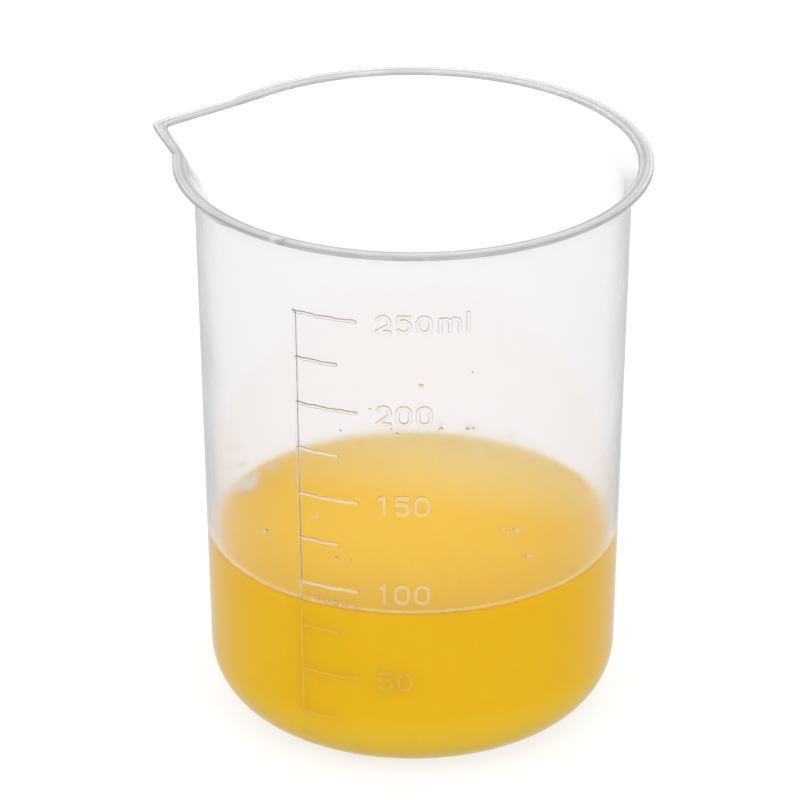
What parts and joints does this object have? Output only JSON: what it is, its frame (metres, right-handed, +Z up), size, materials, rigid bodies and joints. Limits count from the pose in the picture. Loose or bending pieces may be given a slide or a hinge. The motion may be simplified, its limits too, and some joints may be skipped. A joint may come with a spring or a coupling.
{
  "type": "graduated sample beaker",
  "caption": "Straight-sided translucent graduated beaker with a rounded base, turned-out rim and pour spout, holding a cloudy yellow liquid sample.",
  "frame": {"origin": "centre of the ring that the beaker rests on", "axes": "+Z up along the beaker's axis, -X towards the tip of the pour spout, scale on the -Y side"},
  "size_m": [0.0813, 0.075, 0.093],
  "materials": {
    "polypropylene": "translucent natural polypropylene, satin moulded surface",
    "raised_scale": "the same translucent polypropylene, raised moulded lines and numerals",
    "liquid": "cloudy yellow-orange liquid",
    "froth": "thin-walled bubbles",
    "droplets": "clear drops"
  },
  "bodies": {
    "root": {"floor_disc": "polypropylene", "rounded_heel": "polypropylene", "side_wall": "polypropylene", "flared_collar": "polypropylene", "pour_spout": "polypropylene", "rim_flange": "polypropylene", "spout_rim": "polypropylene", "gate_mark": "polypropylene", "scale_spine": "raised_scale", "mark_025": "raised_scale", "mark_050": "raised_scale", "mark_075": "raised_scale", "mark_100": "raised_scale", "mark_125": "raised_scale", "mark_150": "raised_scale", "mark_175": "raised_scale", "mark_200": "raised_scale", "mark_225": "raised_scale", "mark_250": "raised_scale", "numeral_050": "raised_scale", "numeral_100": "raised_scale", "numeral_150": "raised_scale", "numeral_200": "raised_scale", "numeral_250": "raised_scale", "unit_ml": "raised_scale", "liquid_sample": "liquid", "surface_bubbles": "froth", "wall_droplets": "droplets"}
  },
  "joints": []
}
